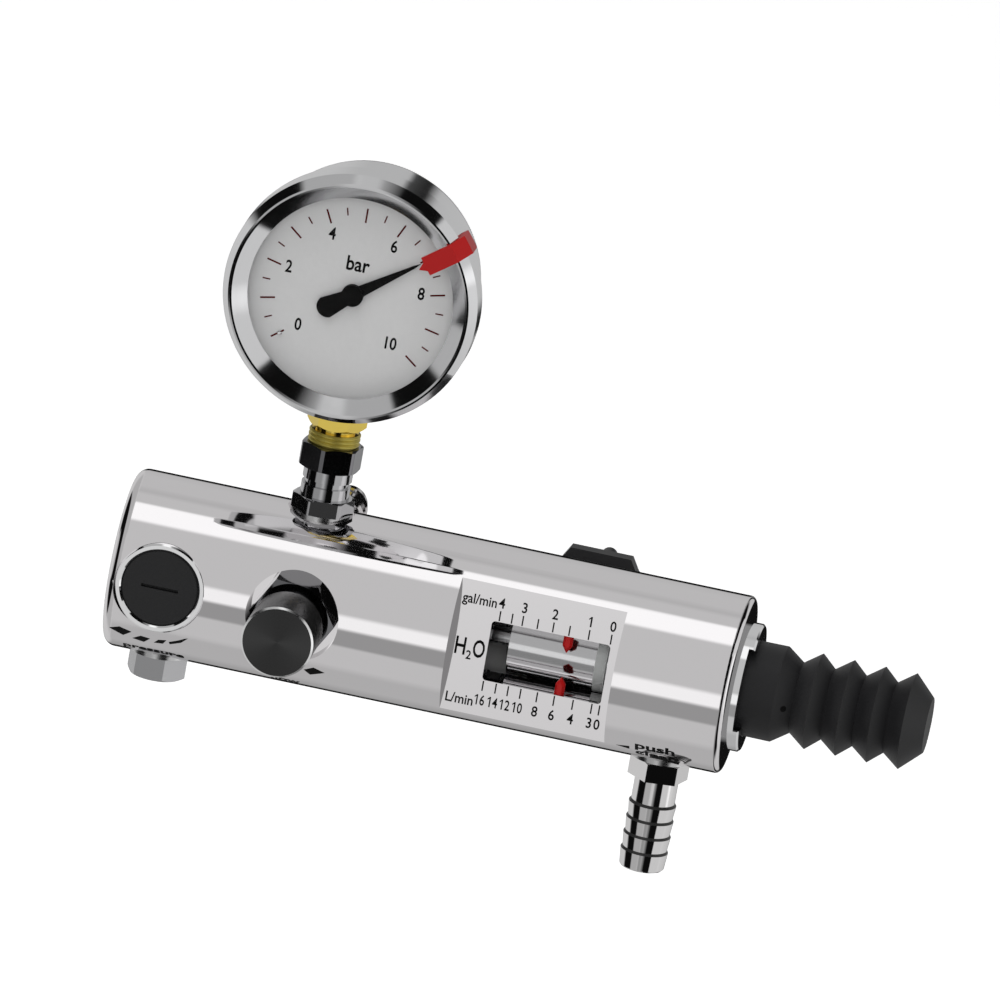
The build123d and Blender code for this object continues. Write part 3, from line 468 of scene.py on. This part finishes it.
bodyMarks = {
    "bold": 0.03,
    "slices": 0.5,
    # Corners as station and angle round the body, 0 at the front and -90 below
    "wedges": [
        [(2.39, -36.7), (6.19, -41.9), (8.39, -36.5), (5.06, -33.6)],
        [(8.71, -43.3), (11.85, -45.1), (13.48, -39.7), (10.96, -38.6)],
        [(14.55, -43.3), (17.05, -42.3), (17.93, -37.7), (15.77, -39.0)],
        [(18.9, -41.2), (21.9, -37.0), (23.7, -31.4), (22.9, -32.2), (20.8, -35.8), (18.6, -39.0)],
        [(55.4, -37.8), (57.13, -42.0), (61.03, -36.8), (57.95, -33.7)],
        [(140.4, -49.3), (144.0, -51.3), (144.0, -47.3)],
    ],
    # Text, station, angle, capital height, width
    "words": [
        ("pressure", 14.35, -55.5, 3.0, 16.6),
        ("flow", 50.1, -58.5, 3.0, 8.2),
        ("push", 150.9, -43.8, 3.2, 10.8),
        ("clean", 151.3, -53.8, 3.1, 11.4),
    ],
}


def onBody(x, y, lift):
    # x is along the body, y runs round it from the front, upwards
    angle = y / bodyRadius
    reach = bodyRadius + lift
    return Vector((leftEnd + x, axisDepth - reach * cos(angle), reach * sin(angle)))


def roundBody(station, angle):
    return station * mm, radians(angle) * bodyRadius


bodyFlats = [[roundBody(*corner) for corner in wedge] for wedge in bodyMarks["wedges"]]
for text, station, angle, height, width in bodyMarks["words"]:
    x, y = roundBody(station, angle)
    bodyFlats.append(shifted(lettersMesh(text, height, width, bodyMarks["bold"]), x, y))
bodyPrint = printOn("body_print", bodyFlats, onBody, "printBlack", "body", slices=bodyMarks["slices"] * mm)
print("body printed")

dial = {
    "station": 50.5,
    "height": 87.0,
    "faceOut": 13.2,
    "start": 217.5,
    "sweep": 255.0,
    "full": 10,
    "longTick": (20.8, 24.8),
    "shortTick": (22.4, 24.5),
    "tickWidth": 0.48,
    "shortTickShare": 0.8,
    "numberHeight": 3.3,
    "numberSqueeze": 0.8,
    "numberPlaces": {
        "0": (-13.1, -10.2), "2": (-18.1, 4.9), "4": (-8.2, 16.2), "6": (8.6, 16.1), "8": (17.8, 4.9),
        "10": (12.1, -10.2),
    },
    "bold": 0.02,
    "barPlace": (0.0, 9.3),
    "barHeight": 3.9,
    "barWidth": 6.2,
    "printThickness": 0.02,
}
dialCentre = spot(dial["station"], dial["faceOut"], dial["height"])


def onDial(x, y, lift):
    return dialCentre + Vector((x, -lift, y))


def dialBar(angle, inner, outer, width):
    c, s = cos(radians(angle)), sin(radians(angle))
    w = width / 2
    return [
        ((inner * c + w * s) * mm, (inner * s - w * c) * mm),
        ((outer * c + w * s) * mm, (outer * s - w * c) * mm),
        ((outer * c - w * s) * mm, (outer * s + w * c) * mm),
        ((inner * c - w * s) * mm, (inner * s + w * c) * mm),
    ]


dialTicks = []
for half in range(2 * dial["full"] + 1):
    angle = dial["start"] - dial["sweep"] * half / (2 * dial["full"])
    inner, outer = dial["shortTick"] if half % 2 else dial["longTick"]
    width = dial["tickWidth"] * (dial["shortTickShare"] if half % 2 else 1.0)
    dialTicks.append(dialBar(angle, inner, outer, width))
dialWords = []
for text, (x, y) in dial["numberPlaces"].items():
    number = lettersMesh(text, dial["numberHeight"], bold=dial["bold"], squeeze=dial["numberSqueeze"])
    dialWords.append(shifted(number, x * mm, y * mm))
barWord = lettersMesh("bar", dial["barHeight"], dial["barWidth"], dial["bold"])
dialWords.append(shifted(barWord, *(part * mm for part in dial["barPlace"])))
tickPrint = printOn("dial_ticks", dialTicks, onDial, "printRed", "body", dial["printThickness"])
numberPrint = printOn("dial_numbers", dialWords, onDial, "printBlack", "body", dial["printThickness"])

dialPin = {"place": (-17.5, -13.4), "radius": 0.55, "start": -0.1, "end": 1.1, "round": 0.2, "sides": 24}
pinCentre = onDial(*(part * mm for part in dialPin["place"]), 0.0)
pinProfile = [
    (dialPin["start"], axisRadius),
    (dialPin["start"], dialPin["radius"]),
    (dialPin["end"] - dialPin["round"], dialPin["radius"]),
    (dialPin["end"], dialPin["radius"] - dialPin["round"]),
    (dialPin["end"], axisRadius),
]
pinSolid = lathe(pinProfile, dialPin["sides"], pinCentre, front, alongBody)
pin = newPiece("stop_pin", *pinSolid, "polishedSteel", "body")
print("dial printed")

# A thin pale sleeve behind the window's left end, its pale colour a painted reflection standing in for the
# bright chrome bore
liner = {
    "start": 100.0, "end": 112.0, "inner": 10.41, "outer": 10.44, "from": -100.0, "to": 100.0, "steps": 40,
    "sharp": 30,
}
linerSection = [
    (liner["start"], liner["inner"]),
    (liner["end"], liner["inner"]),
    (liner["end"], liner["outer"]),
    (liner["start"], liner["outer"]),
]
linerPoints = []
for step in range(liner["steps"] + 1):
    angle = radians(liner["from"] + (liner["to"] - liner["from"]) * step / liner["steps"])
    out, height = -cos(angle), sin(angle)
    linerPoints += [spot(station, radius * out, radius * height) for station, radius in linerSection]
linerFaces = ringFaces(liner["steps"] + 1, len(linerSection), False)
boreLiner = newPiece("bore_liner", linerPoints, linerFaces, "palePaintedReflection", "body", liner["sharp"])
print("window's bore lined")

# Distances from the body's axis, downwards
barbShape = {
    "station": 151.0,
    "threadStart": 13.6,
    "threadRadius": 6.5,
    "seat": 23.9,
    "seatLap": 0.1,
    "hexEnd": 29.3,
    "flatRadius": 7.0,
    "hexTurn": -14.0,
    "hexSides": 96,
    "cornerCut": 0.5,
    "neckRadius": 5.85,
    "neckLap": 0.5,
    "firstRing": 36.4,
    "shoulder": 0.7,
    "shoulderSlope": 0.3,
    "pitch": 4.4,
    "rings": 4,
    "ringRadius": 6.4,
    "rootRadius": 6.0,
    "end": 54.8,
    "endRound": 0.4,
    "boreRadius": 3.6,
    "sides": 64,
    "sharp": 12,
}


def barbHexagon(centre, outward, across):
    # The cut lowers the corners at the seat and leaves the middle of each flat
    along, side = Vector(outward), Vector(across)
    third = along.cross(side)
    start, end, flatRadius = barbShape["seat"], barbShape["hexEnd"], barbShape["flatRadius"]
    boreRadius = barbShape["neckRadius"] - barbShape["neckLap"]
    corner = flatRadius * (2 / sqrt(3) - 1)
    steps, points = barbShape["hexSides"], []
    for step in range(steps):
        angle = 2 * pi * step / steps
        offset = (angle + pi / 6) % (pi / 3) - pi / 6
        radius = flatRadius / cos(offset)
        lowered = barbShape["cornerCut"] * (radius - flatRadius) / corner
        turned = angle + radians(barbShape["hexTurn"])
        radial = side * cos(turned) + third * sin(turned)
        ring = [(start, boreRadius), (start, flatRadius), (start + lowered, radius), (end, radius)]
        ring += [(end, flatRadius), (end, boreRadius)]
        points += [centre + along * distance * mm + radial * r * mm for distance, r in ring]
    return points, ringFaces(steps, len(ring), True)


seatInside = barbShape["seat"] + barbShape["seatLap"]
barbProfile = [
    (barbShape["threadStart"], barbShape["threadRadius"]),
    (seatInside, barbShape["threadRadius"]),
    (seatInside, barbShape["neckRadius"]),
]
for number in range(barbShape["rings"]):
    ringStart = barbShape["firstRing"] + number * barbShape["pitch"]
    rootRadius = barbShape["rootRadius"] if number else barbShape["neckRadius"]
    barbProfile.append((ringStart - barbShape["shoulder"] / 2, rootRadius))
    barbProfile.append((ringStart + barbShape["shoulder"] / 2, barbShape["ringRadius"]))
barbProfile += [
    (barbShape["end"] - barbShape["endRound"], barbShape["rootRadius"]),
    (barbShape["end"], barbShape["rootRadius"] - barbShape["endRound"]),
    (barbShape["end"], barbShape["boreRadius"]),
    (barbShape["threadStart"], barbShape["boreRadius"]),
]
barbCentre = spot(barbShape["station"])
barbTube = lathe(barbProfile, barbShape["sides"], barbCentre, down, front)
barbSolid = joined(barbHexagon(barbCentre, down, front), barbTube)
barb = newPiece("inlet_hose_barb", *barbSolid, "platedNickel", "body", barbShape["sharp"])
# The shoulders get painted shade, for the shadow in the grooves under the rings
barb.data.materials.append(finishes["shoulderPaintedShade"])  # on the shoulders that face up
shoulderTop = -(barbShape["firstRing"] - barbShape["shoulder"]) * mm
for face in barb.data.polygons:
    if face.normal.z > barbShape["shoulderSlope"] and face.center.z < shoulderTop:
        face.material_index = 1
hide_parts("inlet_barb")
print("barb made")

# Heights above the body's axis
stemThread = {
    "station": 50.5,
    "bottom": 42.75,
    "top": 46.3,
    "rootRadius": 6.52,
    "crestRadius": 6.95,
    "crestShares": (0.4, 0.6),
    "ridges": 3,
    "innerRadius": 6.3,
    "sides": 64,
    "sharp": 15,
}
threadPitch = (stemThread["top"] - stemThread["bottom"]) / stemThread["ridges"]
ridged = []
for number in range(stemThread["ridges"]):
    low = stemThread["bottom"] + number * threadPitch
    ridged.append((low, stemThread["rootRadius"]))
    ridged += [(low + threadPitch * share, stemThread["crestRadius"]) for share in stemThread["crestShares"]]
ridged += [
    (stemThread["top"], stemThread["rootRadius"]),
    (stemThread["top"], stemThread["innerRadius"]),
    (stemThread["bottom"], stemThread["innerRadius"]),
]
threadSolid = lathe(ridged, stemThread["sides"], spot(stemThread["station"]), up, front)
thread = newPiece("stem_thread", *threadSolid, "threadBrass", "body", stemThread["sharp"])
print("thread made")

# The float's spring in two halves: the left one stays on the body, the right one goes on the cleaner's body
coil = {
    "start": 57.65,
    "middle": 89.65,
    "end": 128.75,
    "radius": 7.77,
    "wire": 0.45,
    "turns": 4,
    "stepsPerTurn": 28,
    "wireSides": 8,
    "cleanStroke": 22.0,
    "floatStroke": 27.0,
    "sharp": 180,  # smooth all over
}


def coilTube(start, end, inset):
    points = []
    steps, sides = coil["turns"] * coil["stepsPerTurn"], coil["wireSides"]
    for step in range(steps + 1):
        turn = 2 * pi * step / coil["stepsPerTurn"]
        station = start + inset[0] + (end - start - sum(inset)) * step / steps
        radial = Vector((0, -cos(turn), sin(turn)))
        centre = spot(station) + radial * coil["radius"] * mm
        for number in range(sides):
            angle = 2 * pi * number / sides
            around = radial * cos(angle) + Vector(alongBody) * sin(angle)
            points.append(centre + around * coil["wire"] * mm)
    return points, ringFaces(steps + 1, sides, False)


def springHalf(name, start, end, inset, body):
    half = newPiece(name, *coilTube(start, end, inset), "turnedSteel", body, coil["sharp"])
    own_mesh(half)
    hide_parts("float_spring")


leftInset, rightInset = (coil["wire"], 0.0), (0.0, coil["wire"])
springHalf(
    "float_coil_left", coil["start"], coil["middle"], leftInset, "body"
)
springHalf(
    "float_coil_right", coil["middle"], coil["end"], rightInset, "cleaner",
)
print("spring made")

ringNut = {
    "neckStart": 163.2,
    "neckRadius": 15.0,
    "boreRadius": 13.1,
    "seat": 168.0,
    "outerRadius": 17.3,
    "slotFloor": 170.2,
    "face": 171.8,
    "chamfer": 0.5,
    "slotHalf": 10.8,
    "turn": 12.5,
    "lugLap": 0.1,
    "lugMargin": 0.05,
    "steps": 40,
    "sides": 96,
    "sharp": 15,
}


def ringLug(side):
    # A lug beside the spanner slot, its inner edge along the slot or round the bore
    lean = radians(ringNut["turn"])
    outwards = Vector((0, sin(lean), cos(lean))) * side
    across = Vector((0, -cos(lean), sin(lean)))
    outer, edge = ringNut["outerRadius"], ringNut["outerRadius"] - ringNut["chamfer"]
    low, top = ringNut["slotFloor"] - ringNut["lugLap"], ringNut["face"]
    slotHalf, steps = ringNut["slotHalf"], ringNut["steps"]
    reach = atan2(sqrt((edge - ringNut["lugMargin"]) ** 2 - slotHalf ** 2), slotHalf)
    points = []
    for step in range(steps + 1):
        angle = reach * (2 * step / steps - 1)
        inner = max(ringNut["boreRadius"], slotHalf / cos(angle))
        radial = outwards * cos(angle) + across * sin(angle)
        section = [(low, inner), (low, outer), (top - ringNut["chamfer"], outer), (top, edge), (top, inner)]
        points += [spot(station) + radial * radius * mm for station, radius in section]
    return points, ringFaces(steps + 1, len(section), False)


ringBase = [
    (ringNut["neckStart"], ringNut["boreRadius"]),
    (ringNut["neckStart"], ringNut["neckRadius"]),
    (ringNut["seat"], ringNut["neckRadius"]),
    (ringNut["seat"], ringNut["outerRadius"]),
    (ringNut["slotFloor"], ringNut["outerRadius"]),
    (ringNut["slotFloor"], ringNut["boreRadius"]),
]
ringTurned = lathe(ringBase, ringNut["sides"], spot(0), alongBody, front)
ringSolid = joined(ringTurned, ringLug(1), ringLug(-1))
endRing = newPiece("slotted_ring_nut", *ringSolid, "trimChrome", "body", ringNut["sharp"])
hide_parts("end_ring")
print("ring nut made")

rubber = {
    "sides": 72,
    "turn": 11.25,
    "rootRadius": 12.9,
    "valleyRadius": 9.55,
    "peakRadius": 12.95,
    "endRadius": 8.3,
    "endRound": 0.8,
    "rootEnd": 179.2,
    "rootLap": 0.02,
    "firstValley": 183.9,
    "pitch": 8.5,
    "rise": 4.6,
    "pleats": 4,
    "end": 219.6,
    "wall": 1.0,
    "slopeWall": 1.3,
    "collarStart": 163.4,
    "collarTaper": 0.1,
    "keep": 0.4554,
    "sharp": 20,
}
rubberTurn = radians(rubber["turn"])
rubberAxis = (alongBody, (0, -cos(rubberTurn), sin(rubberTurn)))
outside = [(rubber["rootEnd"], rubber["rootRadius"])]
for pleat in range(rubber["pleats"]):
    valley = rubber["firstValley"] + pleat * rubber["pitch"]
    outside.append((valley, rubber["valleyRadius"]))
    outside.append((valley + rubber["rise"], rubber["peakRadius"]))
inside = [(x, r - rubber["slopeWall"]) for x, r in reversed(outside[1:])]
outside += [
    (rubber["end"] - rubber["endRound"], rubber["endRadius"]),
    (rubber["end"], rubber["endRadius"] - rubber["endRound"]),
    (rubber["end"], axisRadius),
]
inside.insert(0, (rubber["end"] - rubber["wall"], axisRadius))
inside.append((rubber["rootEnd"], rubber["rootRadius"] - rubber["wall"]))
pleatSolid = lathe(outside + inside, rubber["sides"], spot(0), *rubberAxis)
pleats = newPiece("bellows_pleats", *pleatSolid, "bellowsRubber", "body", rubber["sharp"])
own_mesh(pleats)
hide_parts("bellows")

# A small hole in the first slope, drawn as a thin black disc of painted shade where the hole's inside lies
# in shadow; slope is that face's outward direction, along the body and out from it
vent = {
    "station": 181.95, "angle": -2.2, "radius": 0.85, "lift": 0.06, "depth": 0.3, "slope": (0.58, 0.814),
    "sides": 24,
}
ventAngle = radians(vent["angle"])
alongSlope, outSlope = vent["slope"]
slopeShare = (vent["station"] - rubber["rootEnd"]) / (rubber["firstValley"] - rubber["rootEnd"])
ventReach = rubber["rootRadius"] + (rubber["valleyRadius"] - rubber["rootRadius"]) * slopeShare
ventOut = Vector((alongSlope, -outSlope * cos(ventAngle), outSlope * sin(ventAngle))).normalized()
ventSide = ventOut.cross(Vector(up)).normalized()
ventCentre = spot(vent["station"], ventReach * cos(ventAngle), ventReach * sin(ventAngle))
ventProfile = [
    (-vent["depth"], axisRadius),
    (-vent["depth"], vent["radius"]),
    (vent["lift"], vent["radius"]),
    (vent["lift"], axisRadius),
]
ventSolid = lathe(ventProfile, vent["sides"], ventCentre, ventOut, ventSide)
ventShade = newPiece("bellows_vent_shade", *ventSolid, "printBlack", "body")
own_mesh(ventShade)

# The part in the ring nut, a piece of its own beside the pleats
collarEnd = rubber["rootEnd"] + rubber["rootLap"]
collar = [
    (rubber["collarStart"], rubber["rootRadius"] - rubber["collarTaper"]),
    (collarEnd, rubber["rootRadius"]),
    (collarEnd, rubber["rootRadius"] - rubber["wall"]),
    (rubber["collarStart"], rubber["rootRadius"] - rubber["wall"]),
]
collarSolid = lathe(collar, rubber["sides"], spot(0), *rubberAxis)
root = newPiece("bellows_root", *collarSolid, "bellowsRubber", "body", rubber["sharp"])
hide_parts("bellows")
print("bellows made")

studio = {
    "floorDrop": 0.25,
    "floorHalf": 4.0,
    "floorColour": (0.9, 0.9, 0.9),
    "floorRoughness": 0.9,
    "floorGlow": 0.62,
    "lamps": {
        "overhead": {"power": 10.0, "size": 1.2, "place": (-0.25, -0.5, 1.45)},
        "frontFill": {"power": 15.0, "size": 1.5, "place": (0.2, -2.2, 0.9)},
    },
    "target": (-0.02843, -0.03186, 0.0304),
    "right": (0.97274, 0.16190, 0.16602),
    "up": (-0.20517, 0.26727, 0.94152),
    "towards": (0.10806, -0.94992, 0.29320),
    "distance": 7.372,
    "lens": 1000.0,
    "sensorWidth": 36.0,
    "clipEnd": 100.0,
}

# The floor is white to the camera and in mirrors, and still keeps the shadow
floorPaint = newFinish("floorPaint", studio["floorColour"], roughness=studio["floorRoughness"])
lightPath = addNode(floorPaint, "ShaderNodeLightPath")
seen = addMath(floorPaint, "ADD", [(0, lightPath, "Is Camera Ray"), (1, lightPath, "Is Glossy Ray")])
seenAll = addMath(floorPaint, "ADD", [(0, seen, 0), (1, lightPath, "Is Transmission Ray")])
glow = addMath(floorPaint, "MULTIPLY", [(0, seenAll, 0)], studio["floorGlow"])
shaderOf(floorPaint).inputs["Emission Color"].default_value = (1, 1, 1, 1)
feed(floorPaint, "Emission Strength", glow)
reach, drop = studio["floorHalf"], -studio["floorDrop"]
floorCorners = [(-reach, -reach, drop), (reach, -reach, drop), (reach, reach, drop), (-reach, reach, drop)]
floorMesh = bpy.data.meshes.new("floor")
floorMesh.from_pydata(floorCorners, [], [(0, 1, 2, 3)])
floorMesh.materials.append(floorPaint)
floor = addObject("floor", floorMesh)
floor.visible_glossy = False

for lampName, values in studio["lamps"].items():
    lampData = bpy.data.lights.new(lampName, "AREA")
    lampData.energy = values["power"]
    lampData.size = values["size"]
    lamp = addObject(lampName, lampData)
    lamp.location = values["place"]
    lamp.rotation_mode = "QUATERNION"
    lamp.rotation_quaternion = (Vector(studio["target"]) - lamp.location).to_track_quat("-Z", "Y")
    lamp.visible_glossy = False

reflections = {
    # What the round body mirrors, by the angle round its axis: 0 is the front, 90 overhead, -90 below
    "bodyBands": [
        (-180, 0.003), (-143, 0.003), (-138, 0.35), (-130, 0.352), (-116, 0.43), (-84, 0.43), (-73, 0.521),
        (-43, 0.521), (-40, 0.301), (-20, 0.301), (-15.5, 0.913), (-2, 0.913), (3, 0.527), (64, 0.527),
        (68, 1.0), (91, 1.0), (94, 0.521), (107, 0.521), (114, 0.445), (124, 0.503), (150, 0.503),
        (164, 0.479), (172, 0.47), (176, 0.003), (180, 0.003),
    ],
    # What the other faces mirror, from the far left at -1 to the far right at 1
    "frontSides": [
        (-1.0, 0.45), (-0.965, 0.45), (-0.955, 0.004), (-0.72, 0.004), (-0.68, 0.42), (-0.3, 0.42),
        (-0.2, 0.6), (0.0, 0.4), (0.25, 0.004), (0.65, 0.004), (0.68, 0.62), (0.93, 0.62), (0.95, 1.0),
        (1.0, 1.0),
    ],
    "backSides": [
        (-1.0, 0.62), (-0.3, 0.55), (0.03, 0.5), (0.06, 0.006), (0.15, 0.006), (0.2, 0.5), (0.85, 0.62),
        (1.0, 0.75),
    ],
    # The share of the body's bands, from left to right, and that of the back, by the angle
    "bodySlot": [(-1.0, 0.0), (-0.26, 0.0), (-0.18, 1.0), (-0.04, 1.0), (0.04, 0.0), (1.0, 0.0)],
    "backShare": [(-180, 1.0), (-112, 1.0), (-92, 0.0), (150, 0.0), (165, 1.0), (180, 1.0)],
}
world = bpy.data.worlds.new("studioWorld")
bpy.context.scene.world = world
world.use_nodes = True


def worldRamp(source, name):
    stops = reflections[name]
    low, high = stops[0][0], stops[-1][0]
    along = addNode(world, "ShaderNodeMapRange", [("Value", source, 0)], From_Min=low, From_Max=high)
    return addRamp(world, along, [((where - low) / (high - low), level) for where, level in stops])


def worldMix(share, first, second):
    # first and second are a node and its output; 6, 7 and 2 are the colour sockets of a mix node
    links = [("Factor", share, 0), (6, *first), (7, *second)]
    return addNode(world, "ShaderNodeMix", links, data_type="RGBA"), 2


worldCoords = addNode(world, "ShaderNodeTexCoord")
direction = addNode(world, "ShaderNodeSeparateXYZ", [(0, worldCoords, "Generated")])
forward = addMath(world, "MULTIPLY", [(0, direction, "Y")], -1.0)
radiansRound = addMath(world, "ARCTAN2", [(0, direction, "Z"), (1, forward, 0)])
around = addMath(world, "MULTIPLY", [(0, radiansRound, 0)], 180 / pi)
frontRamp, backRamp = worldRamp(direction, "frontSides"), worldRamp(direction, "backSides")
flatFaces = worldMix(worldRamp(around, "backShare"), (frontRamp, 0), (backRamp, 0))
bodyRamp = worldRamp(around, "bodyBands")
mixNode, mixOutput = worldMix(worldRamp(direction, "bodySlot"), flatFaces, (bodyRamp, 0))
background = world.node_tree.nodes["Background"]
world.node_tree.links.new(mixNode.outputs[mixOutput], background.inputs["Color"])

cameraData = bpy.data.cameras.new("camera")
cameraData.lens = studio["lens"]
cameraData.sensor_width = studio["sensorWidth"]
cameraData.clip_end = studio["clipEnd"]
camera = addObject("camera", cameraData)
axes = Matrix((studio["right"], studio["up"], studio["towards"])).transposed().to_4x4()
cameraPlace = Vector(studio["target"]) + Vector(studio["towards"]) * studio["distance"]
camera.matrix_world = Matrix.Translation(cameraPlace) @ axes
bpy.context.scene.camera = camera
bpy.context.scene.view_settings.view_transform = "Standard"
print("studio set")
